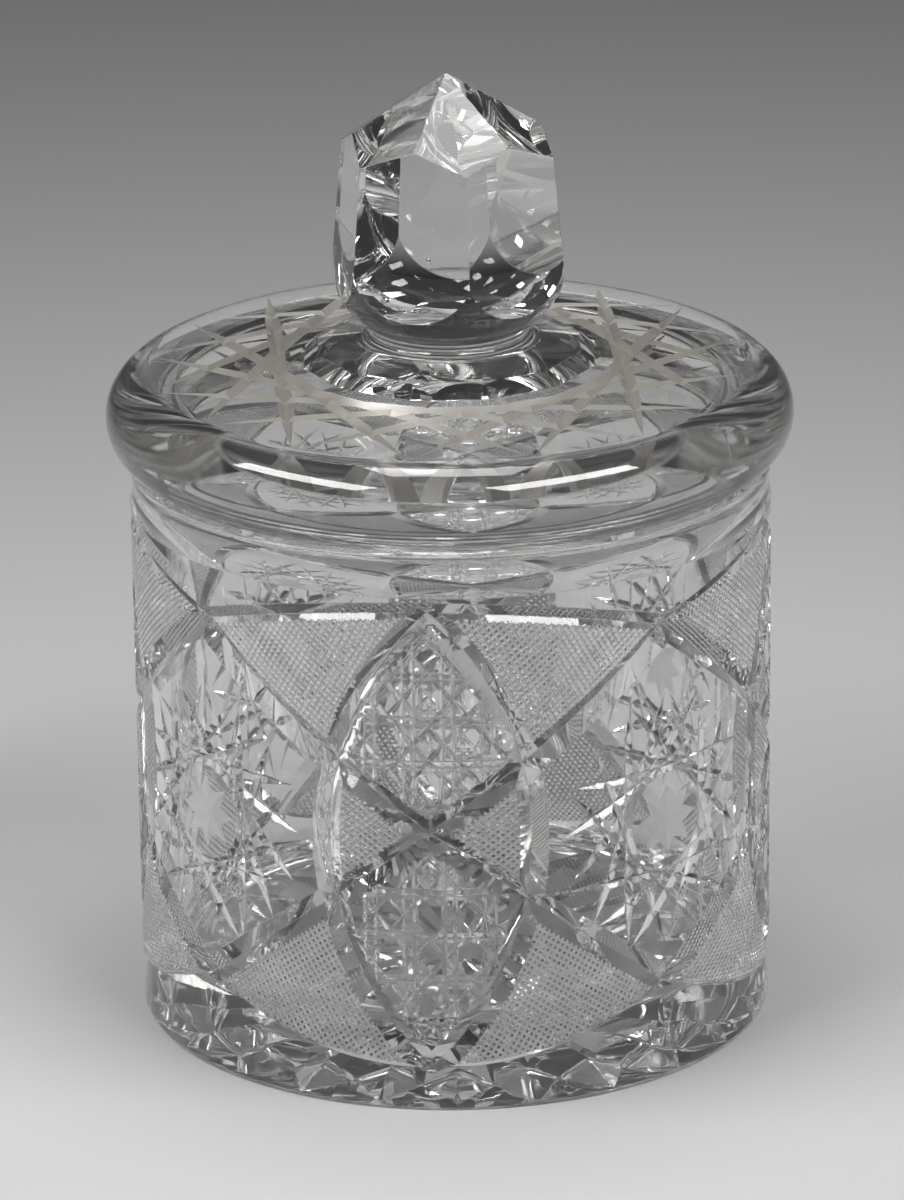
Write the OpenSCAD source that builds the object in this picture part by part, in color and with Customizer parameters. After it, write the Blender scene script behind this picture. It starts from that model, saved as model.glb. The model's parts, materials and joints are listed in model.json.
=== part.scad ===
// Lidded jar of cut crystal: a straight heavy jar with deep wall cuts, a thick lid and a faceted knob.
// Millimetres, +Z up, the origin under the middle of the foot. The front is towards -Y.

/* [Jar] */
// Outer diameter of the jar's wall
jar_d = 140; // [120:1:180]
// Height of the jar from its foot to its ground rim
jar_h = 125.5; // [110:0.5:160]
// Thickness of the jar's wall
wall = 7.5; // [6:0.5:12]
// Thickness of the jar's floor
floor_t = 14; // [9:0.5:22]
// Radius between the inner wall and the floor
floor_fillet = 8; // [4:0.5:14]
// Height of the plain neck band under the rim
neck_band = 9; // [5:0.5:11]
// Depth of the neck band below the cut wall
neck_step = 0.3; // [0.1:0.05:0.8]
// Bevel round the foot and along the rim
bevel = 1; // [0.5:0.1:2]

/* [Wall cuts] */
// Repeats of the pattern round the jar
repeats = 4; // [3:1:5]
// Turn of the first column from the front, in degrees
pattern_turn = -4.5; // [-45:0.5:45]
// Height of the lower border under a column
low_border = 9.5; // [8:0.5:14]
// Rise of the lower border from a column to a star panel
low_rise = 13; // [8:0.5:18]
// Drop from the rim to the upper border over a column
top_gap = 12.5; // [12:0.5:20]
// Drop of the upper border from a column to a star panel
top_drop = 9; // [5:0.5:14]
// Width of the pointed oval round each column
oval_w = 45; // [32:0.5:50]
// Width of the mitre cuts
mitre_w = 6.4; // [4:0.1:8]
// Depth of the mitre cuts
mitre_depth = 1.8; // [1:0.1:2.6]
// Widths of the border cut above and below its valley line
border_w = [2.6, 1.4]; // [0.5:0.1:5]
// Depth of the upper border cut
border_depth = 1.2; // [0.6:0.1:2]
// Widths of the foot cut above and below its valley line
foot_w = [1.4, 10.5]; // [0.5:0.1:12]
// Depth of the foot cut
foot_depth = 1.1; // [0.6:0.1:2]
// Length over which a straight or border cut runs out at its ends
run_out = 6; // [3:0.5:10]
// Length over which an oval runs out past its points
oval_run = 2.5; // [1:0.1:6]

/* [Panel stars] */
// Points of the star in each panel between two columns
panel_points = 16; // [12:2:20]
// Points that each cut of a panel star steps over
panel_step = 6; // [4:1:7]
// Space between a panel star's points and the mitres of the ovals
panel_gap = 1.6; // [0.5:0.1:8]
// Height of a panel star against its width
panel_tall = 1.1; // [0.9:0.01:1.2]
// Drop of a panel star's middle below the middle of its panel
panel_sink = 3; // [0:0.5:6]
// Width of a panel star's cuts
panel_w = 2.2; // [1.2:0.1:3.6]
// Depth of a panel star's cuts
panel_depth = 1; // [0.5:0.1:1.8]

/* [Base star] */
// Rays of the star under the foot
base_rays = 24; // [12:2:32]
// Width of the plain standing ring round the rays
base_ring = 2.5; // [2:0.5:12]
// Diameter of the plain middle inside the rays
base_hub = 12; // [8:1:30]
// Width of a ray
base_w = 12; // [4:0.1:14]
// Depth of a ray
base_depth = 1.4; // [0.5:0.1:2.2]

/* [Lid] */
// Outer diameter of the lid
lid_d = 149.7; // [136:0.1:190]
// Thickness of the lid's round edge
lid_t = 20; // [14:0.5:26]
// Rise of the lid's top from the edge to the collar
lid_rise = 1.9; // [0.5:0.1:5]
// Thickness of glass over the middle of the hollow underside
lid_crown = 5; // [4:0.5:11]
// Rise of the hollow's domed roof from its edge to its middle
dome_rise = 7; // [2:0.5:8]
// Depth of the locating ring below the lid's seat
ring_depth = 2.5; // [1.5:0.5:8]
// Width of the locating ring
ring_w = 3; // [2:0.5:10]
// Clearance between the locating ring and the jar's mouth
ring_gap = 0.6; // [0.3:0.1:2]
// Clearance between the lid's seat and the jar's rim
seat_gap = 0.2; // [0.1:0.05:0.5]

/* [Lid star] */
// Points of the star on the lid
star_points = 16; // [12:2:20]
// Points that each cut of the star steps over
star_step = 5; // [3:1:5]
// Turn of the star's first point from the front, in degrees
star_turn = -7.4; // [-15:0.1:15]
// Diameter over the star's points
star_d = 134; // [110:1:136]
// Width of the star's cuts
star_w = 3.2; // [1.6:0.1:4]
// Depth of the star's cuts
star_depth = 1.2; // [0.5:0.1:2]

/* [Collar and neck] */
// Diameter over the corners of the collar's top edge
collar_d = 59.2; // [48:0.2:62]
// Height of the collar above the lid's top
collar_h = 2.7; // [1.5:0.1:5]
// Slope of the collar's facets from upright, in degrees
collar_slope = 46; // [20:1:55]
// Facets of the collar
collar_sides = 12; // [8:1:16]
// Diameter of the neck under the knob
neck_d = 34.4; // [28:0.2:40]
// Height of the neck over the collar's edge
neck_h = 4.8; // [4:0.1:8]
// Radius at the root of the neck
neck_fillet = 3; // [1.5:0.1:3.5]

/* [Knob] */
// Height of the knob over its neck
knob_h = 55.8; // [46:0.2:70]
// Width over opposite side panels at the belly
knob_w = 45.6; // [42:0.2:54]
// Height of the belly over the neck
belly_h = 16.8; // [10:0.1:20]
// Lean of the side panels inwards, in degrees
knob_lean = 4.8; // [2:0.1:9]
// Slope of the crown facets, in degrees
crown_slope = 34.6; // [28:0.2:42]
// Side panels of the knob
knob_sides = 6; // [5:1:8]
// Turn of the knob's first corner from the front, in degrees
knob_turn = 10; // [-30:1:30]

/* [Hidden] */
$fn = 96;
glass = [0.86, 0.88, 0.89, 0.35];

jar_r = jar_d / 2;
mouth_r = jar_r - wall;
neck_z = jar_h - neck_band;

// Height by which every cutter stands proud of the surface that it cuts
lift = 0.6;
// Stations along a long cut and along a short one
long_steps = 14;
short_steps = 6;

// Heights of the pattern: over and under a column, and over and under a star panel
column_top = jar_h - top_gap;
column_low = low_border;
panel_top = column_top - top_drop;
panel_low = column_low + low_rise;
half_deg = 180 / repeats;
half_s = jar_r * half_deg * PI / 180;

// Circle of the pointed oval, in the unrolled wall
oval_h = column_top - column_low;
oval_r = (oval_h * oval_h / 4 + oval_w * oval_w / 4) / oval_w;
oval_deg = asin(oval_h / 2 / oval_r);
oval_end_deg = oval_deg + oval_run / oval_r * 180 / PI;

// Circle of a panel star's points, and the circles that the rays of the base star run between
panel_r = half_s - oval_w / 2 - mitre_w / 2 - panel_gap;
panel_radii = panel_r * [1, panel_tall];
panel_z = (panel_top + panel_low) / 2 - panel_sink;
ray_from = base_hub / 2;
ray_to = jar_r - bevel - base_ring;

seat_z = jar_h + seat_gap;
edge_r = lid_t / 2;
flat_r = lid_d / 2 - edge_r;
ring_r = mouth_r - ring_gap;
hollow_r = ring_r - ring_w;
dome_r = (hollow_r * hollow_r + dome_rise * dome_rise) / (2 * dome_rise);
top_z = seat_z + lid_t;
collar_foot_r = collar_d / 2 + collar_h * tan(collar_slope);
collar_z = top_z + lid_rise;
collar_top = collar_z + collar_h;
neck_r = neck_d / 2;
neck_top = collar_top + neck_h;

// The round belly stands a shade proud of the corners between the panels
belly_r = knob_w / 2 / cos(180 / knob_sides) + 0.2;
cushion_x = belly_r - neck_r;
cushion_r = (cushion_x * cushion_x + belly_h * belly_h) / (2 * cushion_x);
reach = 2 * (knob_h + belly_r);

// A point of the wall from its arc length, its height and its distance out of the surface
on_wall = function (s, z, out)
    let (a = s / jar_r * 180 / PI) [(jar_r + out) * sin(a), -(jar_r + out) * cos(a), z];

// A point of the foot's underside from its place in plan and its distance out of the surface
on_foot = function (x, y, out) [x, -y, -out];

// Height of the lid's top at a radius
function lid_top(r) = top_z + lid_rise * (flat_r - r) / (flat_r - collar_foot_r);

// A point of the lid's top from its place in plan and its distance out of the surface
on_lid = function (x, y, out) [x, y, lid_top(norm([x, y])) + out];

function unit(v) = v / norm(v);

// Direction of a path at one of its points
function heading(path, i) = unit(path[min(i + 1, len(path) - 1)] - path[max(i - 1, 0)]);

// A straight path between two points
function chord(from, to, steps) = [for (k = [0 : steps]) from + (to - from) * k / steps];

// A straight path with a run out at both ends
function straight(from, to, steps) =
    let (way = unit(to - from) * run_out)
    chord(from - way, to + way, steps);

// Depths along a path: full in the middle, rising above the surface at the ends
function depths(path, depth, fade) =
    let (last = len(path) - 1)
    [for (p = path)
        let (near = min(norm(p - path[0]), norm(p - path[last])))
        min(depth, near / fade * (depth + lift / 3) - lift / 3)];

// V cut along a path on a surface, with its own width on the left and the right of the valley line
module v_cut(path, depth, widths, fade, place) {
    deep = depths(path, depth, fade);
    last = len(path) - 1;
    left = widths[0] / depth;
    right = widths[1] / depth;
    points = [for (i = [0 : last])
        let (way = heading(path, i), side = [-way.y, way.x], rise = deep[i] + lift,
             l = path[i] + side * rise * left, r = path[i] - side * rise * right)
        each [place(l.x, l.y, lift), place(path[i].x, path[i].y, -deep[i]), place(r.x, r.y, lift)]];
    flanks = [for (i = [0 : last - 1])
        let (l = 3 * i, v = l + 1, r = l + 2, nl = l + 3, nv = l + 4, nr = l + 5)
        each [[l, nl, nr], [l, nr, r], [nl, l, v], [nl, v, nv], [r, nr, nv], [r, nv, v]]];
    end = 3 * last;
    polyhedron(points, concat(flanks, [[0, 2, 1], [end + 2, end, end + 1]]));
}

// Outline of one side of the pointed oval, side being 1 or -1
function oval_path(side) =
    let (mid = (column_top + column_low) / 2)
    [for (i = [0 : long_steps])
        let (a = oval_end_deg * (2 * i / long_steps - 1))
        [side * (oval_w / 2 - oval_r + oval_r * cos(a)), mid + oval_r * sin(a)]];

// Scalloped border that is level over a column and bends by a given height at the star panels
function border_path(z, bend) =
    let (reach_s = half_s + run_out, full = 1 - cos(half_deg))
    [for (i = [0 : long_steps])
        let (s = reach_s * (2 * i / long_steps - 1), a = s / jar_r * 180 / PI)
        [s, z + bend * (1 - cos(a)) / full]];

// Star of cuts, each from one point of an oval to another some points further round
// The cuts differ a shade in depth, as work by hand does, so no two valleys cross in one point
module star_cuts(middle, radii, points, step, depth, width, place) {
    step_deg = 360 / points;
    point = [for (i = [0 : points - 1])
        middle + [radii.x * sin(i * step_deg), -radii.y * cos(i * step_deg)]];
    for (i = [0 : points - 1]) {
        path = chord(point[i], point[(i + step) % points], short_steps);
        fade = norm(path[short_steps] - path[0]) / 5;
        shade = 1 - 0.16 * (7 * i % points) / points;
        v_cut(path, depth * shade, [width / 2, width / 2] * shade, fade, place);
    }
}

// Rays of the star under the foot
module base_cuts() {
    fade = (ray_to - ray_from) / 4;
    for (i = [0 : base_rays - 1]) {
        a = i * 360 / base_rays;
        path = chord(ray_from * [sin(a), -cos(a)], ray_to * [sin(a), -cos(a)], short_steps);
        v_cut(path, base_depth, [base_w / 2, base_w / 2], fade, on_foot);
    }
}

// Every cut of one column of the wall and of the panel beside it
module column_cuts() {
    half_w = [mitre_w / 2, mitre_w / 2];
    for (side = [-1, 1]) {
        diagonal = straight([-side * half_s, panel_top], [side * half_s, panel_low], long_steps);
        v_cut(diagonal, mitre_depth, half_w, run_out, on_wall);
        v_cut(oval_path(side), mitre_depth, half_w, oval_run, on_wall);
    }
    v_cut(border_path(column_top, -top_drop), border_depth, border_w, run_out, on_wall);
    v_cut(border_path(column_low, low_rise), foot_depth, foot_w, run_out, on_wall);
    star_cuts([half_s, panel_z], panel_radii, panel_points, panel_step, panel_depth, panel_w, on_wall);
}

module jar_outline() {
    neck_r_out = jar_r - neck_step;
    difference() {
        polygon([
            [0, 0], [jar_r - bevel, 0], [jar_r, bevel], [jar_r, neck_z],
            [neck_r_out, neck_z + neck_step], [neck_r_out, jar_h - bevel],
            [neck_r_out - bevel, jar_h], [0, jar_h]
        ]);
        translate([0, floor_t + floor_fillet])
            square([mouth_r, jar_h]);
        translate([0, floor_t])
            square([mouth_r - floor_fillet, jar_h]);
        translate([mouth_r - floor_fillet, floor_t + floor_fillet])
            circle(floor_fillet);
    }
}

module jar() {
    color(glass)
        difference() {
            rotate_extrude()
                jar_outline();
            for (i = [0 : repeats - 1])
                rotate([0, 0, pattern_turn + i * 360 / repeats])
                    column_cuts();
            base_cuts();
        }
}

module lid_outline() {
    ring_z = seat_z - ring_depth;
    difference() {
        union() {
            polygon([
                [0, seat_z], [flat_r, seat_z], [flat_r, top_z], [collar_foot_r, collar_z], [0, collar_z]
            ]);
            translate([flat_r, seat_z + edge_r])
                circle(edge_r);
            translate([0, ring_z])
                square([ring_r, ring_depth + edge_r]);
        }
        intersection() {
            translate([0, ring_z - lift])
                square([hollow_r, lid_t + ring_depth]);
            translate([0, top_z - lid_crown - dome_r])
                circle(dome_r);
        }
    }
}

module collar_outline() {
    root_z = neck_top - neck_fillet;
    root_r = neck_r + neck_fillet;
    slope = (root_z - collar_top) / (collar_d / 2 - root_r);
    brim_r = collar_foot_r + lift;
    brim_z = collar_top - slope * (brim_r - collar_d / 2);
    difference() {
        polygon([
            [0, collar_z - lift], [brim_r, collar_z - lift], [brim_r, brim_z],
            [root_r, root_z], [root_r, neck_top], [0, neck_top]
        ]);
        translate([root_r, neck_top])
            circle(neck_fillet);
    }
}

// Everything on the outer side of a leaning plane that stands at a distance from the axis
module beyond(distance, z, lean) {
    translate([distance, 0, z])
        rotate([0, -lean, 0])
            translate([0, -reach / 2, -reach / 2])
                cube(reach);
}

module collar() {
    corner_deg = 180 / collar_sides;
    difference() {
        rotate_extrude()
            collar_outline();
        for (i = [0 : collar_sides - 1])
            rotate([0, 0, 2 * i * corner_deg - 90])
                beyond(collar_d / 2 * cos(corner_deg), collar_top, collar_slope);
    }
}

module lid() {
    star_radii = star_d / 2 * [1, 1];
    color(glass)
        union() {
            rotate([0, 0, star_turn])
                difference() {
                    rotate_extrude()
                        lid_outline();
                    star_cuts([0, 0], star_radii, star_points, star_step, star_depth, star_w, on_lid);
                }
            collar();
        }
}

module knob_outline() {
    difference() {
        union() {
            square([neck_r, belly_h]);
            translate([belly_r - cushion_r, belly_h])
                circle(cushion_r);
            translate([0, belly_h])
                square([belly_r, knob_h - belly_h]);
        }
        translate([-reach, -reach])
            square([reach, 2 * reach]);
        translate([0, -reach])
            square([reach, reach]);
    }
}

module knob() {
    side_deg = 360 / knob_sides;
    color(glass)
        translate([0, 0, neck_top])
            difference() {
                rotate_extrude()
                    knob_outline();
                for (i = [0 : knob_sides - 1]) {
                    rotate([0, 0, knob_turn + (i + 0.5) * side_deg - 90])
                        beyond(knob_w / 2, belly_h, knob_lean);
                    rotate([0, 0, knob_turn + i * side_deg - 90])
                        beyond(0, knob_h, 90 - crown_slope);
                }
            }
}

jar();
lid();
knob();
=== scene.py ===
import json
import math
import bmesh
import bpy
import numpy as np
from mathutils import Matrix, Vector

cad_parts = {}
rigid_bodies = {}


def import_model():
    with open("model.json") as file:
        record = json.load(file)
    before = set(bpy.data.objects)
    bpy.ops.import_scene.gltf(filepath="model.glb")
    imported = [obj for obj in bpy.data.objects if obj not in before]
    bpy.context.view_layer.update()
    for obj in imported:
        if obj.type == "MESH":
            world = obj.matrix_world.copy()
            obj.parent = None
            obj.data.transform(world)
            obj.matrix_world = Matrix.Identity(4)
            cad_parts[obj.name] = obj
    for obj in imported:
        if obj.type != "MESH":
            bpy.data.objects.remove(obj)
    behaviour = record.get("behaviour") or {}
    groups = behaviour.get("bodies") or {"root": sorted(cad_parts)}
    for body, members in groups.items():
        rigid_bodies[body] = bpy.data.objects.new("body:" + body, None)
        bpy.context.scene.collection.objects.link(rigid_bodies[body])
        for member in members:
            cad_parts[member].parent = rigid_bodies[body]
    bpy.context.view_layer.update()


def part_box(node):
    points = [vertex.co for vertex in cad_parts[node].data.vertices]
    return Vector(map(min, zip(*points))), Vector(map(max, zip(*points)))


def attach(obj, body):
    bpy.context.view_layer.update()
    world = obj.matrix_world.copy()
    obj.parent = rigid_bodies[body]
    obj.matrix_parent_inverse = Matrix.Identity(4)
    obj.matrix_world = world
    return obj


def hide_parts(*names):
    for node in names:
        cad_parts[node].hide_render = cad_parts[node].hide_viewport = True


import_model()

mm = 0.001
onAxis = 1e-6  # a radius in mm under this counts as the axis
scene = bpy.context.scene
jarLow, jarHigh = (np.array(corner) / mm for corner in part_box("jar"))
lidHigh = np.array(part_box("lid")[1]) / mm
knobLow, knobHigh = (np.array(corner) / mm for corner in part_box("knob"))


# node trees: arithmetic on wires adds Math nodes, and one method adds any other node

class Wire:
    def __init__(self, tree, socket):
        self.tree = tree
        self.socket = socket

    def math(self, operation, first, second):
        node = self.tree.nodes.new("ShaderNodeMath")
        node.operation = operation
        plug(self.tree, node.inputs[0], first)
        plug(self.tree, node.inputs[1], second)
        return Wire(self.tree, node.outputs[0])

    def __add__(self, other):
        return self.math("ADD", self, other)

    def __radd__(self, other):
        return self.math("ADD", other, self)

    def __mul__(self, other):
        return self.math("MULTIPLY", self, other)

    def __rmul__(self, other):
        return self.math("MULTIPLY", other, self)

    def __truediv__(self, other):
        return self.math("DIVIDE", self, other)

    def __rtruediv__(self, other):
        return self.math("DIVIDE", other, self)


def plug(tree, socket, value):
    if isinstance(value, Wire):
        tree.links.new(value.socket, socket)
    else:
        socket.default_value = value


class Tree:
    def __init__(self, tree):
        self.tree = tree
        self.tree.nodes.clear()

    def node(self, kind, settings=None, sockets=None, out=0):
        node = self.tree.nodes.new(kind)
        for key, value in (settings or {}).items():
            setattr(node, key, value)
        for key, value in (sockets or {}).items():
            plug(self.tree, node.inputs[key], value)
        if isinstance(out, tuple):
            return [Wire(self.tree, node.outputs[key]) for key in out]
        return Wire(self.tree, node.outputs[out]) if node.outputs else None


class Finish(Tree):
    def __init__(self, name):
        self.material = bpy.data.materials.new(name)
        self.material.use_nodes = True
        super().__init__(self.material.node_tree)

    def noise(self, scale, detail):
        place = self.node("ShaderNodeTexCoord", None, None, "Object")
        return self.node("ShaderNodeTexNoise", None, {"Vector": place, "Scale": scale, "Detail": detail})

    def blend(self, share, first, second):
        return self.node("ShaderNodeMix", {"data_type": "RGBA"}, {0: share, 6: first, 7: second}, 2)

    def show(self, shader):
        self.node("ShaderNodeOutputMaterial", None, {"Surface": shader})
        return self.material


# glass: one batch of lead crystal in three finishes, with heights and radii in metres

crystal = {
    "ior": 1.55,
    "clear": (0.985, 0.99, 0.988, 1.0),
    "grey": (0.96, 0.965, 0.955, 1.0),
    "waveScale": 55.0,
    "waveDetail": 1.0,
    "waveHeight": 0.00004,
    "smearScale": 22.0,
    "smearDetail": 4.0,
    "rough": 0.004,
    "roughSpread": 0.02,
    "arris": 0.0003,
    "arrisSamples": 4,
}
satinLook = {
    "pale": crystal["clear"],
    "dark": crystal["grey"],
    "patchScale": 60.0,
    "patchDetail": 3.0,
    "gritScale": 4000.0,
    "gritDetail": 2.0,
    "gritHeight": 0.00002,
    "gritStrength": 0.4,
    "rough": 0.28,
    "roughSpread": 0.14,
    "through": 0.8,
}
mattLook = {
    "pale": (0.54, 0.505, 0.455, 1.0),
    "dark": (0.30, 0.275, 0.24, 1.0),
    "patchScale": 90.0,
    "patchDetail": 4.0,
    "gritScale": 2600.0,
    "gritDetail": 3.0,
    "gritHeight": 0.00006,
    "gritStrength": 0.8,
    "rough": 0.45,
    "roughSpread": 0.2,
    "through": 0.7,
}


def polishedGlass():
    c = crystal
    finish = Finish("polishedCrystal")
    wave = finish.noise(c["waveScale"], c["waveDetail"])
    smear = finish.noise(c["smearScale"], c["smearDetail"])
    arris = finish.node("ShaderNodeBevel", {"samples": c["arrisSamples"]}, {"Radius": c["arris"]})
    bump = finish.node("ShaderNodeBump", None, {
        "Height": wave, "Distance": c["waveHeight"], "Strength": 1.0, "Normal": arris})
    tint = finish.blend(smear, c["clear"], c["grey"])
    rough = c["rough"] + c["roughSpread"] * smear
    shader = finish.node("ShaderNodeBsdfPrincipled", None, {
        "Base Color": tint, "Roughness": rough, "Normal": bump,
        "Transmission Weight": 1.0, "IOR": c["ior"]})
    return finish.show(shader)


def groundGlass(name, look):
    finish = Finish(name)
    patch = finish.noise(look["patchScale"], look["patchDetail"])
    grit = finish.noise(look["gritScale"], look["gritDetail"])
    bump = finish.node("ShaderNodeBump", None, {
        "Height": grit, "Distance": look["gritHeight"], "Strength": look["gritStrength"]})
    tint = finish.blend(patch, look["pale"], look["dark"])
    rough = look["rough"] + look["roughSpread"] * patch
    shader = finish.node("ShaderNodeBsdfPrincipled", None, {
        "Base Color": tint, "Roughness": rough, "Normal": bump,
        "Transmission Weight": look["through"], "IOR": crystal["ior"]})
    return finish.show(shader)


polished = polishedGlass()
satin = groundGlass("satinHatch", satinLook)
matt = groundGlass("mattCut", mattLook)
print("finishes ready")


# outlines of revolved glass: pieces of line or arc, each with the normals at its two ends

def line(start, end):
    start, end = np.array(start, float), np.array(end, float)
    way = (end - start) / np.linalg.norm(end - start)
    normal = np.array([way[1], -way[0]])
    return [(start, end, normal, normal)]


def bend(centre, radius, first, last, steps):
    angles = np.radians(np.linspace(first, last, steps + 1))
    out = np.stack([np.cos(angles), np.sin(angles)], 1)
    points = np.array(centre, float) + radius * out
    normals = out if last > first else -out
    return [(points[i], points[i + 1], normals[i], normals[i + 1]) for i in range(steps)]


def revolve(name, outline, segments, finish):
    rings = np.array([piece[0] for piece in outline] + [outline[-1][1]])
    turn = np.arange(segments) / segments * 2 * math.pi
    points, faces, starts = [], [], []
    for r, z in rings:
        starts.append(len(points))
        if r < onAxis:
            points.append((0.0, 0.0, z))
        else:
            points.extend((r * math.sin(a), -r * math.cos(a), z) for a in turn)
    for i in range(len(rings) - 1):
        low, high = starts[i], starts[i + 1]
        for j in range(segments):
            k = (j + 1) % segments
            if rings[i][0] < onAxis:
                faces.append((low, high + k, high + j))
            elif rings[i + 1][0] < onAxis:
                faces.append((low + j, low + k, high))
            else:
                faces.append((low + j, low + k, high + k, high + j))
    return solid(name, points, faces, finish)


def solid(name, points, faces, finish):
    mesh = bpy.data.meshes.new(name)
    mesh.from_pydata((np.asarray(points, float) * mm).tolist(), [], faces)
    mesh.update()
    mesh.materials.append(finish)
    return bpy.data.objects.new(name, mesh)


# wheel cuts: a V along a path on a surface, deep in the middle and running out at its ends

def wheelCut(path, depth, widths, fade, place, lift):
    path = np.asarray(path, float)
    gaps = np.diff(path, axis=0)
    along = np.concatenate([[0], np.cumsum(np.hypot(gaps[:, 0], gaps[:, 1]))])
    near = np.minimum(along, along[-1] - along)
    endRise = lift / 3  # the valley comes out of the surface just before its ends
    deep = np.minimum(depth, near / fade * (depth + endRise) - endRise)
    ahead = np.vstack([gaps[:1], path[2:] - path[:-2], gaps[-1:]])
    ahead /= np.linalg.norm(ahead, axis=1)[:, None]
    side = np.stack([-ahead[:, 1], ahead[:, 0]], 1)
    rise = (deep + lift)[:, None] / depth
    left = path + side * rise * widths[0]
    right = path - side * rise * widths[1]
    points = np.stack([place(left, lift), place(path, -deep), place(right, lift)], 1).reshape(-1, 3)
    faces = [(1, 2, 0)]
    for i in range(len(path) - 1):
        l, v, r, nl, nv, nr = range(3 * i, 3 * i + 6)
        faces += [(nr, nl, l), (r, nr, l), (v, l, nl), (nv, v, nl), (nv, nr, r), (v, nv, r)]
    end = 3 * (len(path) - 1)
    faces.append((end + 1, end, end + 2))
    return points, faces


def cutter(name, cuts, finish, group):
    points, faces, count = [], [], 0
    for somePoints, someFaces in cuts:
        points.append(somePoints)
        faces += [tuple(i + count for i in face) for face in someFaces]
        count += len(somePoints)
    group.objects.link(solid(name, np.vstack(points), faces, finish))


# one cut of equal flanks, from the width, depth and lift in a star's settings
def starCut(name, path, star, fade, place, finish, group):
    half = star["width"] / 2
    cutter(name, [wheelCut(path, star["depth"], (half, half), fade, place, star["lift"])], finish, group)


def chord(start, end, step):
    start, end = np.array(start, float), np.array(end, float)
    count = max(2, round(np.linalg.norm(end - start) / step))
    return start + (end - start) * np.linspace(0, 1, count + 1)[:, None]


def span(path):
    return np.linalg.norm(path[-1] - path[0])


# one tree carves a ring of cuts out of a blank

def carveTree():
    group = bpy.data.node_groups.new("carveRound", "GeometryNodeTree")
    given = {"Geometry": "Geometry", "Cuts": "Collection", "Repeats": "Int", "First turn": "Float",
             "Glass": "Material"}
    for name, kind in given.items():
        group.interface.new_socket(name, in_out="INPUT", socket_type="NodeSocket" + kind)
    group.interface.new_socket("Geometry", in_out="OUTPUT", socket_type="NodeSocketGeometry")
    tree = Tree(group)
    blank, cuts, repeats, turn, glass = tree.node("NodeGroupInput", out=tuple(given))
    tools = tree.node("GeometryNodeCollectionInfo", None, {"Collection": cuts, "Separate Children": True})
    copies, index = tree.node("GeometryNodeDuplicateElements", {"domain": "INSTANCE"}, {
        "Geometry": tools, "Amount": repeats}, ("Geometry", "Duplicate Index"))
    angle = tree.node("ShaderNodeCombineXYZ", None, {"Z": index / repeats * (2 * math.pi) + turn})
    ring = tree.node("GeometryNodeRotateInstances", None, {
        "Instances": copies, "Rotation": angle, "Local Space": False})
    carved = tree.node("GeometryNodeMeshBoolean", {"operation": "DIFFERENCE", "solver": "MANIFOLD"}, {
        "Mesh 1": blank, "Mesh 2": ring})
    real = tree.node("GeometryNodeRealizeInstances", None, {"Geometry": carved})
    firstSlot = tree.node("FunctionNodeCompare", {"data_type": "INT", "operation": "EQUAL"}, {
        2: tree.node("GeometryNodeInputMaterialIndex")})
    coated = tree.node("GeometryNodeSetMaterial", None, {
        "Geometry": real, "Selection": firstSlot, "Material": glass})
    tree.node("NodeGroupOutput", None, {"Geometry": coated})
    return group


carving = carveTree()
carvingInput = {item.name: item.identifier for item in carving.interface.items_tree
                if item.in_out == "INPUT"}


def carveRound(blank, group, repeats, turn):
    scene.collection.objects.link(blank)
    step = blank.modifiers.new("carveRound", "NODES")
    step.node_group = carving
    for key, value in {"Cuts": group, "Repeats": repeats, "First turn": turn, "Glass": polished}.items():
        step[carvingInput[key]] = value
    return settle(blank, group)


# the evaluated shape becomes a plain mesh, and the tools that cut it go
def settle(blank, group=None):
    graph = bpy.context.evaluated_depsgraph_get()
    mesh = bpy.data.meshes.new_from_object(blank.evaluated_get(graph), depsgraph=graph)
    blank.modifiers.clear()
    blank.data = mesh
    scene.collection.objects.unlink(blank)
    if group:
        for tool in list(group.objects):
            bpy.data.objects.remove(tool)
        bpy.data.collections.remove(group)
    print(blank.name, "carved:", len(mesh.vertices), "points,", len(mesh.polygons), "faces")
    return blank


# a fine arris along the sharp edges of a faceted lump
def breakEdges(piece, lowest, width, sharp):
    work = bmesh.new()
    work.from_mesh(piece.data)
    edges = [edge for edge in work.edges
             if edge.is_manifold and edge.calc_face_angle() > math.radians(sharp)
             and min(point.co.z for point in edge.verts) > lowest * mm]
    bmesh.ops.bevel(work, geom=edges, offset=width * mm, offset_type="OFFSET", segments=2, profile=0.5,
                    affect="EDGES", clamp_overlap=True)
    work.to_mesh(piece.data)
    work.free()
    print(piece.name, "has", len(edges), "edges broken")


def cutGroup(name):
    group = bpy.data.collections.new(name)
    scene.collection.children.link(group)
    return group


# the jar, in mm

jar = {
    "radius": (jarHigh[0] - jarLow[0]) / 2,
    "height": jarHigh[2],
    "wall": 7.5,
    "floor": 14.0,
    "floorFillet": 8.0,
    "neckBand": 9.0,
    "neckStep": 0.05,
    "neckHollow": 0.5,
    "bevel": 1.0,
    "edge": 0.5,
    "bevelSteps": 4,
    "edgeSteps": 3,
    "curveSteps": 10,
    "segments": 120,
}
wallCuts = {
    "repeats": 4,
    "turn": math.radians(-4.5),
    "rimGap": 12.5,  # plain glass over a column
    "columnLow": 9.5,
    "topDrop": 9.0,
    "lowRise": 13.0,
    "ovalWidth": 45.0,
    "mitreWidth": 6.4,
    "mitreDepth": 2.4,
    "topWidths": (2.6, 1.4),
    "topDepth": 1.2,
    "footWidths": (1.4, 10.5),
    "footDepth": 1.1,
    "runOut": 6.0,
    "ovalRun": 2.5,
    "lift": 0.6,
    "step": 2.0,
}

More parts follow.
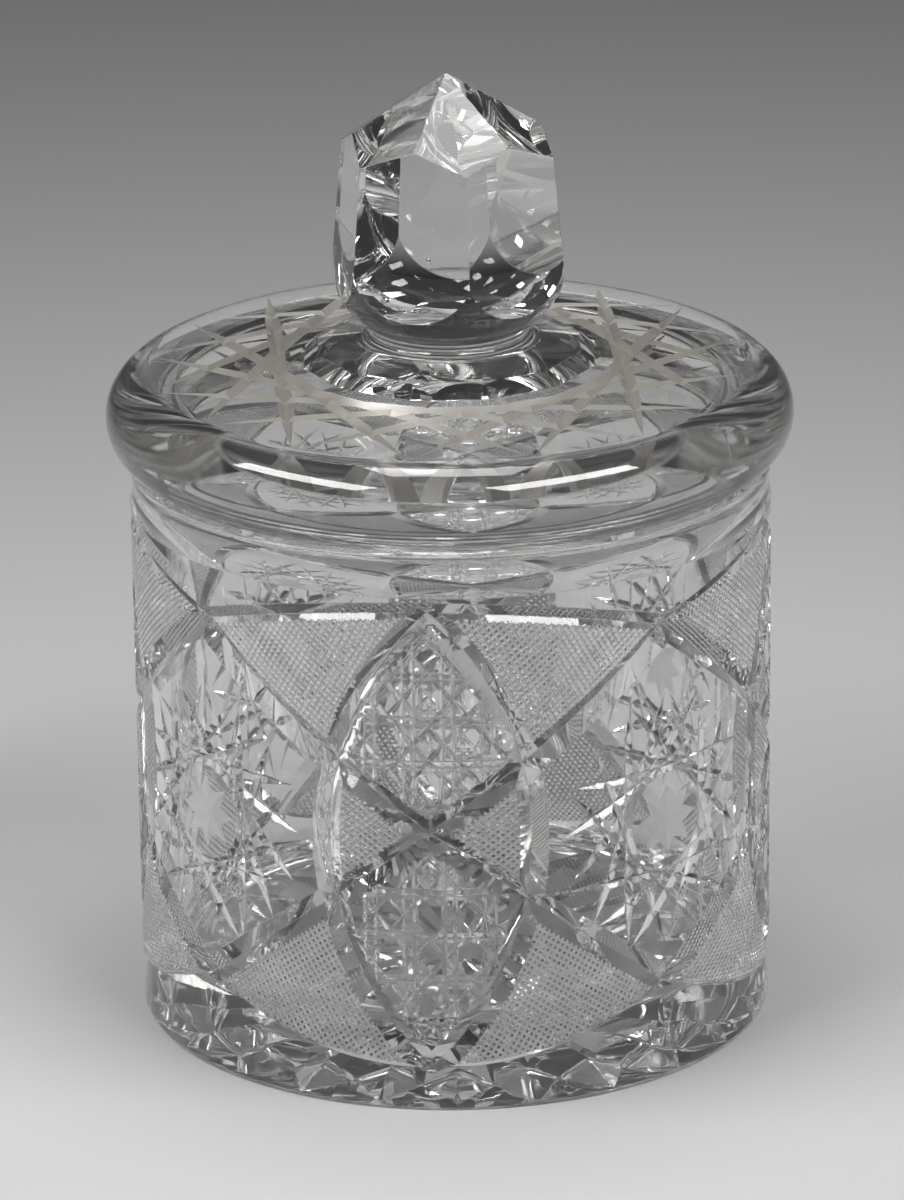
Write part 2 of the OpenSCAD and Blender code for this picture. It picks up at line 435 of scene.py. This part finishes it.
columnTop = jar["height"] - wallCuts["rimGap"]
panelTop = columnTop - wallCuts["topDrop"]
panelLow = wallCuts["columnLow"] + wallCuts["lowRise"]
halfAngle = math.pi / wallCuts["repeats"]
halfArc = jar["radius"] * halfAngle
middle = (panelTop + panelLow) / 2
slope = (panelTop - panelLow) / (2 * halfArc)
ovalMid = (columnTop + wallCuts["columnLow"]) / 2
ovalTall = columnTop - wallCuts["columnLow"]
ovalRadius = (ovalTall ** 2 + wallCuts["ovalWidth"] ** 2) / (4 * wallCuts["ovalWidth"])
ovalShift = wallCuts["ovalWidth"] / 2 - ovalRadius


def onWall(path, out):
    angle = path[:, 0] / jar["radius"]
    radius = jar["radius"] + out
    return np.stack([radius * np.sin(angle), -radius * np.cos(angle), path[:, 1]], 1)


def jarOutline():
    r, h, e = jar["radius"], jar["height"], jar["edge"]
    b, f, steps = jar["bevel"], jar["floorFillet"], jar["curveSteps"]
    mouth = r - jar["wall"]
    neckR, neckZ = r - jar["neckStep"], h - jar["neckBand"]
    half = (jar["neckBand"] - jar["neckStep"] - b) / 2
    hollow = (half ** 2 + jar["neckHollow"] ** 2) / (2 * jar["neckHollow"])
    swing = math.degrees(math.asin(half / hollow))
    return (
        line((0, 0), (r - b, 0))
        + bend((r - b, b), b, -90, 0, jar["bevelSteps"])
        + line((r, b), (r, neckZ))
        + line((r, neckZ), (neckR, neckZ + jar["neckStep"]))
        + bend((neckR + hollow - jar["neckHollow"], h - b - half), hollow, 180 + swing, 180 - swing, steps)
        + bend((neckR - b, h - b), b, 0, 90, jar["bevelSteps"])
        + line((neckR - b, h), (mouth + e, h))
        + bend((mouth + e, h - e), e, 90, 180, jar["edgeSteps"])
        + line((mouth, h - e), (mouth, jar["floor"] + f))
        + bend((mouth - f, jar["floor"] + f), f, 0, -90, steps)
        + line((mouth - f, jar["floor"]), (0, jar["floor"]))
    )


def borderHeight(s, start, bendBy):
    return start + bendBy * (1 - np.cos(s / jar["radius"])) / (1 - math.cos(halfAngle))


def ovalPath(side):
    reach = math.asin(ovalTall / 2 / ovalRadius) + wallCuts["ovalRun"] / ovalRadius
    a = np.linspace(-reach, reach, round(2 * reach * ovalRadius / wallCuts["step"]) + 1)
    return np.stack([side * (ovalShift + ovalRadius * np.cos(a)), ovalMid + ovalRadius * np.sin(a)], 1)


def borderPath(start, bendBy):
    reach = halfArc + wallCuts["runOut"]
    s = np.linspace(-reach, reach, round(2 * reach / wallCuts["step"]) + 1)
    return np.stack([s, borderHeight(s, start, bendBy)], 1)


def mitreCuts(group):
    w = wallCuts
    half = (w["mitreWidth"] / 2, w["mitreWidth"] / 2)

    def cut(name, path, depth, widths, run):
        cutter(name, [wheelCut(path, depth, widths, run, onWall, w["lift"])], polished, group)

    for side in (-1, 1):
        start = np.array([-side * halfArc, panelTop])
        end = np.array([side * halfArc, panelLow])
        out = (end - start) / np.linalg.norm(end - start) * w["runOut"]
        cut("diagonal", chord(start - out, end + out, w["step"]), w["mitreDepth"], half, w["runOut"])
        cut("oval", ovalPath(side), w["mitreDepth"], half, w["ovalRun"])
    cut("topBorder", borderPath(columnTop, -w["topDrop"]), w["topDepth"], w["topWidths"], w["runOut"])
    cut("footBorder", borderPath(w["columnLow"], w["lowRise"]), w["footDepth"], w["footWidths"], w["runOut"])


# where a field of fine cuts lies: s is the arc from the column's middle, z the height
def insideOval(s, z):
    return ovalRadius - np.hypot(np.abs(s) - ovalShift, z - ovalMid)


def crossGap(s, z):
    return (np.abs(z - middle) - slope * np.abs(s)) / math.hypot(1, slope)


def betweenBorders(s, z):
    top = borderHeight(s, columnTop, -wallCuts["topDrop"])
    foot = borderHeight(s, wallCuts["columnLow"], wallCuts["lowRise"])
    return (z < top) & (z > foot) & (np.abs(s) < halfArc)


# fine crosshatch in the corners of a column and at the sides of its oval

hatch = {
    "pitch": 1.25,
    "groove": 0.66,
    "depth": 0.32,
    "lift": 0.1,
    "keepOff": 0.5,
    "steep": 60.0,
    "reach": 70,  # grooves each way from the middle
    "passes": 4,
}


def cornerField(sideways, upwards):
    keep = hatch["keepOff"]
    return lambda s, z: ((insideOval(s, z) < -keep) & (crossGap(s, z) > keep) & betweenBorders(s, z)
                         & (s * sideways > 0) & ((z - middle) * upwards > 0))


def sideField(sideways):
    keep = hatch["keepOff"]
    return lambda s, z: (insideOval(s, z) > keep) & (crossGap(s, z) < -keep) & (s * sideways > 0)


# grid cells with all four corners in a field, less those that hang on by one side or by a corner
def wholeCells(good):
    cells = good[:-1, :-1] & good[1:, :-1] & good[:-1, 1:] & good[1:, 1:]
    for again in range(hatch["passes"]):
        near = np.pad(cells, 1).astype(int)
        sides = near[:-2, 1:-1] + near[2:, 1:-1] + near[1:-1, :-2] + near[1:-1, 2:]
        cells &= sides > 1
    size = cells.shape[0] - 1
    rising, falling = ((0, 0), (1, 1)), ((1, 0), (0, 1))
    for pair, others in ((rising, falling), (falling, rising)):
        here, there, left, right = (cells[a:a + size, b:b + size] for a, b in pair + others)
        here &= ~(here & there & ~left & ~right)
    return cells


# close grooves both ways leave small flat studs, so the tool is the grid of those grooves
def hatchGrid(field, firstAngle, secondAngle):
    h = hatch
    inset = h["groove"] / 2 * (1 + h["lift"] / h["depth"]) / h["pitch"]
    ways = np.array([(math.cos(a), math.sin(a)) for a in np.radians((firstAngle, secondAngle))])
    ways *= h["pitch"] / abs(ways[0][0] * ways[1][1] - ways[0][1] * ways[1][0])
    if ways[0][0] * ways[1][1] < ways[0][1] * ways[1][0]:
        ways = ways[::-1]
    counts = np.arange(-h["reach"], h["reach"] + 1)
    i, j = np.meshgrid(counts, counts, indexing="ij")
    spots = np.array([0.0, middle]) + i[..., None] * ways[0] + j[..., None] * ways[1]
    cells = wholeCells(field(spots[..., 0], spots[..., 1]))
    index, flat, faces = {}, [], []

    def spot(key, place, out):
        if key not in index:
            index[key] = len(flat)
            flat.append((place[0], place[1], out))
        return index[key]

    for a, b in zip(*np.nonzero(cells)):
        ring = [(a, b), (a + 1, b), (a + 1, b + 1), (a, b + 1)]
        low = [spot((0,) + key, spots[key], -h["depth"]) for key in ring]
        high = [spot((1,) + key, spots[key], h["lift"]) for key in ring]
        across = [spots[key] * (1 - inset) ** 2 + spots[ring[(k + 2) % 4]] * inset ** 2
                  + (spots[ring[(k + 1) % 4]] + spots[ring[(k + 3) % 4]]) * inset * (1 - inset)
                  for k, key in enumerate(ring)]
        stud = [spot((2 + k, a, b), place, h["lift"]) for k, place in enumerate(across)]
        beside = [(a, b - 1), (a + 1, b), (a, b + 1), (a - 1, b)]
        for k in range(4):
            n = (k + 1) % 4
            faces += [(high[k], high[n], stud[n], stud[k]), (stud[k], stud[n], low[n], low[k])]
        for k, key in enumerate(beside):
            if not cells[key]:
                n = (k + 1) % 4
                faces.append((low[k], low[n], high[n], high[k]))
    flat = np.array(flat)
    return onWall(flat[:, :2], flat[:, 2]), faces


def hatchCuts(group):
    lean = math.degrees(math.atan(slope))
    fields = [(cornerField(x, y), x * y * lean, -x * y * hatch["steep"]) for x in (-1, 1) for y in (-1, 1)]
    fields += [(sideField(x), lean, -lean) for x in (-1, 1)]
    grids = [hatchGrid(*field) for field in fields]
    cutter("hatch", grids, satin, group)
    print("hatch fields:", [len(faces) for points, faces in grids])


# cane cutting in the oval's top and foot

cane = {
    "across": 8.5,
    "up": 9.85,
    "halfWide": 3.1,
    "halfTall": 4.2,
    "corner": 3.95,
    "width": 1.2,
    "depth": 1.0,
    "fade": 0.8,
    "lift": 0.1,
    "step": 3.0,
    "keepOff": 1.4,
    "upperMid": 84.0,
    "lowerMid": 35.2,
    "columns": 3,
    "rows": 4,
    "reach": 90.0,
    "probe": 0.2,
    "shortest": 6,  # probes along a cut
}


def caneField(upwards):
    keep = cane["keepOff"]
    return lambda s, z: (insideOval(s, z) > keep) & (crossGap(s, z) > keep) & ((z - middle) * upwards > 0)


# the stretches of one straight line that lie in a field of cane cutting
def runsAlong(field, normalAngle, offset, origin):
    n = np.array([math.cos(normalAngle), math.sin(normalAngle)])
    t = np.arange(-cane["reach"], cane["reach"], cane["probe"])
    path = np.array(origin, float) + n * offset + np.stack([-n[1] * t, n[0] * t], 1)
    within = np.concatenate([[False], field(path[:, 0], path[:, 1]), [False]])
    edges = np.flatnonzero(np.diff(within.astype(int)))
    for first, last in zip(edges[::2], edges[1::2]):
        if last - first > cane["shortest"]:
            yield chord(path[first], path[last - 1], cane["step"])


# four families of paired lines leave eight sided buttons
def caneCuts(group):
    c = cane
    half = (c["width"] / 2, c["width"] / 2)
    lean = math.atan2(c["up"], c["across"])
    row = c["across"] * math.sin(lean)
    columns = [i * c["across"] for i in range(-c["columns"], c["columns"] + 1)]
    rows = [j * c["up"] for j in range(-c["rows"], c["rows"] + 1)]
    slants = [(2 * i + 1) * row for i in range(-c["rows"], c["rows"])]
    families = [
        (0.0, columns, c["halfWide"]),
        (math.pi / 2, rows, c["halfTall"]),
        (lean - math.pi / 2, slants, c["corner"]),
        (math.pi / 2 - lean, slants, c["corner"]),
    ]
    for angle, places, apart in families:
        cuts = []
        for upwards, start in ((1, c["upperMid"]), (-1, c["lowerMid"])):
            for offset in (place + d for place in places for d in (-apart, apart)):
                for path in runsAlong(caneField(upwards), angle, offset, (0, start)):
                    cuts.append(wheelCut(path, c["depth"], half, c["fade"], onWall, c["lift"]))
        cutter("cane", cuts, polished, group)


# a star in each panel, with a satin one in its middle

panelStar = {
    "points": 16,
    "skip": 6,
    "gap": 1.6,
    "sink": 3.0,
    "tall": 1.1,
    "width": 2.2,
    "depth": 1.0,
    "fadeShare": 6,
    "lift": 0.4,
}
hubStar = {"arms": 4, "reach": 9.4, "width": 8.4, "depth": 0.7, "lift": 0.2, "step": 1.5}


def panelCuts(group):
    p, hub = panelStar, hubStar
    radius = halfArc - wallCuts["ovalWidth"] / 2 - wallCuts["mitreWidth"] / 2 - p["gap"]
    centre = np.array([halfArc, middle - p["sink"]])
    turn = np.arange(p["points"]) * 2 * math.pi / p["points"]
    tips = centre + radius * np.stack([np.sin(turn), -p["tall"] * np.cos(turn)], 1)
    for i in range(p["points"]):
        path = chord(tips[i], tips[(i + p["skip"]) % p["points"]], wallCuts["step"])
        starCut("panelStar", path, p, span(path) / p["fadeShare"], onWall, polished, group)
    for i in range(hub["arms"]):
        angle = i * math.pi / hub["arms"]
        arm = hub["reach"] * np.array([math.sin(angle), -math.cos(angle)])
        path = chord(centre - arm, centre + arm, hub["step"])
        starCut("hubStar", path, hub, hub["reach"], onWall, satin, group)


# rays under the foot

baseStar = {
    "rays": 24,
    "ring": 2.5,
    "hub": 6.0,
    "width": 14.0,
    "depth": 3.2,
    "fadeShare": 4,
    "lift": 0.4,
    "step": 2.0,
}


def underFoot(path, out):
    return np.stack([path[:, 0], -path[:, 1], np.zeros(len(path)) - out], 1)


def baseCuts(group):
    b = baseStar
    path = chord((0, -b["hub"]), (0, -(jar["radius"] - jar["bevel"] - b["ring"])), b["step"])
    starCut("baseRay", path, b, span(path) / b["fadeShare"], underFoot, polished, group)


def buildJar():
    blank = revolve("jarGlass", jarOutline(), jar["segments"], polished)
    group = cutGroup("wallTools")
    mitreCuts(group)
    hatchCuts(group)
    caneCuts(group)
    panelCuts(group)
    blank = carveRound(blank, group, wallCuts["repeats"], wallCuts["turn"])
    group = cutGroup("baseTools")
    baseCuts(group)
    return carveRound(blank, group, baseStar["rays"], 0.0)


# lid, collar and knob, one lump of glass, in mm

lid = {
    "edgeRound": 10.0,
    "seatGap": 0.2,
    "rise": 1.9,
    "roofEdge": 8.0,
    "roofRise": 7.0,
    "ringDepth": 2.5,
    "ringWidth": 3.0,
    "ringGap": 0.6,
    "edge": 0.6,
    "edgeSteps": 3,
    "roofSteps": 24,
    "roundSteps": 36,
    "segments": 240,
}
collar = {
    "radius": 29.6,
    "height": 2.7,
    "slope": math.radians(46),
    "sides": 12,
    "neck": 17.2,
    "neckHeight": 4.8,
    "fillet": 3.0,
    "filletSteps": 8,
    "overhang": 0.6,
    "sunk": 0.8,
}
knob = {
    "height": knobHigh[2] - knobLow[2],
    "acrossFlats": 45.6,
    "proud": 0.2,  # the belly's largest circle stands past the corners of the sides
    "belly": 16.8,
    "bellySteps": 20,
    "lean": math.radians(4.8),
    "crown": math.radians(34.6),
    "sides": 6,
    "turn": math.radians(10),
    "rootRadius": 16.0,
    "rootDepth": 1.6,
    "arris": 0.3,
    "arrisFrom": 2.0,
    "sharp": 25.0,  # degrees between two facets
}

seatZ = jar["height"] + lid["seatGap"]
flatRadius = lidHigh[0] - lid["edgeRound"]
topZ = seatZ + 2 * lid["edgeRound"]
collarZ = topZ + lid["rise"]
collarTop = collarZ + collar["height"]
collarFoot = collar["radius"] + collar["height"] * math.tan(collar["slope"])
neckTop = collarTop + collar["neckHeight"]
knobTop = neckTop + knob["height"]
bellyRadius = knob["acrossFlats"] / 2 / math.cos(math.pi / knob["sides"]) + knob["proud"]
cushionX = bellyRadius - collar["neck"]
cushionRadius = (cushionX ** 2 + knob["belly"] ** 2) / (2 * cushionX)


def onLid(path, out):
    r = np.hypot(path[:, 0], path[:, 1])
    top = topZ + lid["rise"] * (flatRadius - r) / (flatRadius - collarFoot)
    return np.stack([path[:, 0], path[:, 1], top + out], 1)


def lidOutline():
    e, edge, steps = lid["edge"], lid["edgeRound"], lid["edgeSteps"]
    ringOut = jar["radius"] - jar["wall"] - lid["ringGap"]
    ringIn = ringOut - lid["ringWidth"]
    ringLow = seatZ - lid["ringDepth"]
    roofZ = seatZ + lid["roofEdge"]
    dome = (ringIn ** 2 + lid["roofRise"] ** 2) / (2 * lid["roofRise"])
    swing = math.degrees(math.asin(ringIn / dome))
    return (
        bend((0, roofZ + lid["roofRise"] - dome), dome, 90, 90 - swing, lid["roofSteps"])
        + line((ringIn, roofZ), (ringIn, ringLow + e))
        + bend((ringIn + e, ringLow + e), e, 180, 270, steps)
        + line((ringIn + e, ringLow), (ringOut - e, ringLow))
        + bend((ringOut - e, ringLow + e), e, -90, 0, steps)
        + line((ringOut, ringLow + e), (ringOut, seatZ))
        + line((ringOut, seatZ), (flatRadius, seatZ))
        + bend((flatRadius, seatZ + edge), edge, -90, 90, lid["roundSteps"])
        + line((flatRadius, topZ), (collarFoot, collarZ))
        + line((collarFoot, collarZ), (0, collarZ))
    )


def collarOutline():
    rootR, rootZ = collar["neck"] + collar["fillet"], neckTop - collar["fillet"]
    fall = (rootZ - collarTop) / (collar["radius"] - rootR)
    brim, lowZ = collarFoot + collar["overhang"], collarZ - collar["sunk"]
    brimZ = collarTop - fall * (brim - collar["radius"])
    return (
        line((0, lowZ), (brim, lowZ))
        + line((brim, lowZ), (brim, brimZ))
        + line((brim, brimZ), (rootR, rootZ))
        + bend((rootR, neckTop), collar["fillet"], 270, 180, collar["filletSteps"])
        + line((collar["neck"], neckTop), (0, neckTop))
    )


def knobOutline():
    centre = (bellyRadius - cushionRadius, neckTop + knob["belly"])
    first = math.degrees(math.atan2(-knob["belly"], collar["neck"] - centre[0]))
    rootR, rootZ = knob["rootRadius"], neckTop - knob["rootDepth"]
    return (
        line((0, rootZ), (rootR, rootZ))
        + line((rootR, rootZ), (collar["neck"], neckTop))
        + bend(centre, cushionRadius, first, 0, knob["bellySteps"])
        + line((bellyRadius, centre[1]), (bellyRadius, knobTop))
        + line((bellyRadius, knobTop), (0, knobTop))
    )


# a block that takes away all that lies beyond a leaning plane
def beyond(name, distance, z, lean, group):
    reach = 200.0  # more than any piece
    corners = np.array([(x, y, h) for x in (0, reach) for y in (-reach, reach) for h in (-reach, reach)])
    x, y, h = corners.T
    c, s = math.cos(lean), math.sin(lean)
    points = np.stack([c * x - s * h, y, s * x + c * h], 1)
    points += (distance, 0, z)
    faces = [(0, 1, 3, 2), (4, 6, 7, 5), (0, 4, 5, 1), (2, 3, 7, 6), (0, 2, 6, 4), (1, 5, 7, 3)]
    group.objects.link(solid(name, points, faces, polished))


def fuse(body, *others):
    scene.collection.objects.link(body)
    for other in others:
        scene.collection.objects.link(other)
        step = body.modifiers.new("fuse", "BOOLEAN")
        step.operation = "UNION"
        step.solver = "MANIFOLD"
        step.object = other
    settle(body)
    for other in others:
        bpy.data.objects.remove(other)
    return body


# the star on the lid

lidStar = {
    "points": 16,
    "skip": 5,
    "radius": 66.5,
    "turn": math.radians(-7.4),
    "width": 3.2,
    "depth": 1.2,
    "fadeShare": 5,
    "lift": 0.4,
    "step": 3.0,
}


def buildDisc():
    s = lidStar
    disc = revolve("lidGlass", lidOutline(), lid["segments"], polished)
    group = cutGroup("lidTools")
    ends = [s["radius"] * np.array([math.sin(a), -math.cos(a)])
            for a in (0, s["skip"] * 2 * math.pi / s["points"])]
    path = chord(ends[0], ends[1], s["step"])
    starCut("lidStar", path, s, span(path) / s["fadeShare"], onLid, matt, group)
    return carveRound(disc, group, s["points"], s["turn"])


def buildCollar():
    brim = revolve("collarGlass", collarOutline(), lid["segments"], polished)
    group = cutGroup("collarTools")
    half = math.pi / collar["sides"]
    beyond("collarFacet", collar["radius"] * math.cos(half), collarTop, collar["slope"], group)
    return carveRound(brim, group, collar["sides"], -math.pi / 2)


# one small bubble in the knob

seed = {"place": (-2.0, -6.0, 17.0), "radius": 0.55, "steps": 18, "segments": 32}


def buildKnob():
    k = knob
    front = k["turn"] - math.pi / 2
    lump = revolve("knobGlass", knobOutline(), lid["segments"], polished)
    group = cutGroup("knobTools")
    beyond("knobSide", k["acrossFlats"] / 2, neckTop + k["belly"], k["lean"], group)
    lump = carveRound(lump, group, k["sides"], front + math.pi / k["sides"])
    group = cutGroup("crownTools")
    beyond("knobCrown", 0.0, knobTop, math.pi / 2 - k["crown"], group)
    lump = carveRound(lump, group, k["sides"], front)
    breakEdges(lump, neckTop + k["arrisFrom"], k["arris"], k["sharp"])
    group = cutGroup("seedTools")
    ball = bend((0, 0), seed["radius"], -90, 90, seed["steps"])
    bubble = revolve("seed", ball, seed["segments"], polished)
    bubble.data.transform(Matrix.Translation((Vector(seed["place"]) + Vector((0, 0, neckTop))) * mm))
    group.objects.link(bubble)
    return carveRound(lump, group, 1, 0.0)


def buildLid():
    return fuse(buildDisc(), buildCollar(), buildKnob())


# shading normals: exact on the revolved faces, soft along a cut and crisp at its edges

smoothing = {
    "crisp": 14.0,  # degrees between two faces
    "gap": 0.03,  # mm from the outline
    "lean": 6.0,  # degrees from the outline's normal
}


def vectors(items, field):
    found = np.empty(len(items) * 3)
    items.foreach_get(field, found)
    return found.reshape(-1, 3)


def numbers(items, field):
    found = np.empty(len(items), int)
    items.foreach_get(field, found)
    return found


def throughAxis(places):
    return np.stack([np.hypot(places[:, 0], places[:, 1]), places[:, 2]], 1)


def roundAxis(flatNormals, places):
    r = np.hypot(places[:, 0], places[:, 1])[:, None]
    away = np.where(r > onAxis, places[:, :2] / np.maximum(r, onAxis), 0)
    turned = np.column_stack([flatNormals[:, :1] * away, flatNormals[:, 1]])
    return turned / np.linalg.norm(turned, axis=1)[:, None]


def between(first, last, share):
    return first * (1 - share) + last * share


def smoothGlass(piece, outline):
    mesh = piece.data
    mesh.shade_smooth()
    mesh.set_sharp_from_angle(angle=math.radians(smoothing["crisp"]))
    points = vectors(mesh.vertices, "co") / mm
    normals = vectors(mesh.corner_normals, "vector")
    centre = vectors(mesh.polygons, "center") / mm
    facing = vectors(mesh.polygons, "normal")
    corner = numbers(mesh.loops, "vertex_index")
    faces = len(mesh.polygons)
    ownFace = np.repeat(np.arange(faces), numbers(mesh.polygons, "loop_total"))
    start, end, firstNormal, lastNormal = (np.array(column) for column in zip(*outline))
    way = end - start
    length2 = (way ** 2).sum(1)

    flat = throughAxis(centre)  # each face goes with the piece of the outline that is nearest
    best, bestGap, bestShare = np.zeros(faces, int), np.full(faces, np.inf), np.zeros(faces)
    for i in range(len(outline)):
        share = np.clip(((flat - start[i]) @ way[i]) / length2[i], 0, 1)
        gap = np.linalg.norm(flat - start[i] - share[:, None] * way[i], axis=1)
        closer = gap < bestGap
        best[closer], bestGap[closer], bestShare[closer] = i, gap[closer], share[closer]
    mean = between(firstNormal[best], lastNormal[best], bestShare[:, None])
    agree = (roundAxis(mean, centre) * facing).sum(1)
    revolved = (bestGap < smoothing["gap"]) & (agree > math.cos(math.radians(smoothing["lean"])))

    mine = revolved[ownFace]
    spots, nearest = points[corner[mine]], best[ownFace[mine]]
    flat = throughAxis(spots)
    share = np.clip(((flat - start[nearest]) * way[nearest]).sum(1) / length2[nearest], 0, 1)[:, None]
    normals[mine] = roundAxis(between(firstNormal[nearest], lastNormal[nearest], share), spots)
    mesh.normals_split_custom_set(normals.tolist())
    print(piece.name, "revolved faces:", int(revolved.sum()), "of", faces)


jarGlass = buildJar()
lidGlass = buildLid()
smoothGlass(jarGlass, jarOutline())
smoothGlass(lidGlass, lidOutline() + collarOutline() + knobOutline())
for piece, body, nodes in ((jarGlass, "jar", ("jar",)), (lidGlass, "lid", ("lid", "knob"))):
    scene.collection.objects.link(piece)
    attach(piece, body)
    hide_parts(*nodes)
print("glass built")


# table, light and camera, in mm

table = {
    "tone": (0.56, 0.56, 0.565, 1.0),
    "shade": 0.97,
    "cloudScale": 9.0,
    "cloudDetail": 3.0,
    "rough": 0.6,
    "roughSpread": 0.1,
    "radius": 8000.0,
    "sides": 96,
    "drop": 0.05,
}
studio = {
    "worldTone": (0.035, 0.035, 0.036, 1.0),
    "camera": (0.0, -1350.0, 576.5),
    "aim": (0.0, 0.0, 91.2),
    "lens": 195.8,
    "sensor": 36.0,
    "roll": math.radians(-0.68),
    "farthest": 20.0,  # metres
    "bounces": 24,  # thick cut glass sends light round many times
    "glossyBounces": 16,
}
lamps = {
    "leftBox": {"place": (-480, -260, 730), "aim": (0, 0, 80), "size": (620, 170),
                "power": 4.8, "colour": (1.0, 1.0, 1.0)},
    "rightBox": {"place": (380, -340, 760), "aim": (0, 0, 80), "size": (600, 170),
                 "power": 4.8, "colour": (1.0, 0.99, 0.97)},
    "overhead": {"place": (0, 60, 850), "aim": (0, 0, 40), "size": (300, 300),
                 "power": 2.0, "colour": (1.0, 1.0, 1.0)},
}


def tableFinish():
    finish = Finish("paleTable")
    cloud = finish.noise(table["cloudScale"], table["cloudDetail"])
    shaded = tuple(table["shade"] * c for c in table["tone"][:3]) + (1.0,)
    tone = finish.blend(cloud, table["tone"], shaded)
    rough = table["rough"] + table["roughSpread"] * cloud
    shader = finish.node("ShaderNodeBsdfPrincipled", None, {"Base Color": tone, "Roughness": rough})
    return finish.show(shader)


def buildTable():
    r, sides = table["radius"], table["sides"]
    turn = np.arange(sides) / sides * 2 * math.pi
    points = [(r * math.cos(a), r * math.sin(a), -table["drop"]) for a in turn]
    top = solid("table", points, [tuple(range(sides))], tableFinish())
    scene.collection.objects.link(top)


def towards(place, aim):
    return (Vector(aim) - Vector(place)).to_track_quat("-Z", "Y")


def buildLamp(name, look):
    light = bpy.data.lights.new(name, "AREA")
    light.shape = "RECTANGLE"
    light.size, light.size_y = (side * mm for side in look["size"])
    light.energy = look["power"]
    light.color = look["colour"]
    holder = bpy.data.objects.new(name, light)
    holder.location = Vector(look["place"]) * mm
    holder.rotation_euler = towards(look["place"], look["aim"]).to_euler()
    scene.collection.objects.link(holder)


def buildCamera():
    camera = bpy.data.cameras.new("camera")
    camera.sensor_fit = "VERTICAL"
    camera.sensor_height = studio["sensor"]
    camera.lens = studio["lens"]
    camera.clip_end = studio["farthest"]
    eye = bpy.data.objects.new("camera", camera)
    eye.location = Vector(studio["camera"]) * mm
    look = towards(studio["camera"], studio["aim"]).to_matrix()
    eye.rotation_euler = (look @ Matrix.Rotation(studio["roll"], 3, "Z")).to_euler()
    scene.collection.objects.link(eye)
    scene.camera = eye


def buildStudio():
    world = bpy.data.worlds.new("studio")
    world.use_nodes = True
    world.node_tree.nodes["Background"].inputs["Color"].default_value = studio["worldTone"]
    scene.world = world
    for name, look in lamps.items():
        buildLamp(name, look)
    buildCamera()
    scene.view_settings.view_transform = "Standard"
    scene.cycles.max_bounces = studio["bounces"]
    scene.cycles.transmission_bounces = studio["bounces"]
    scene.cycles.glossy_bounces = studio["glossyBounces"]


buildTable()
buildStudio()
print("studio ready")
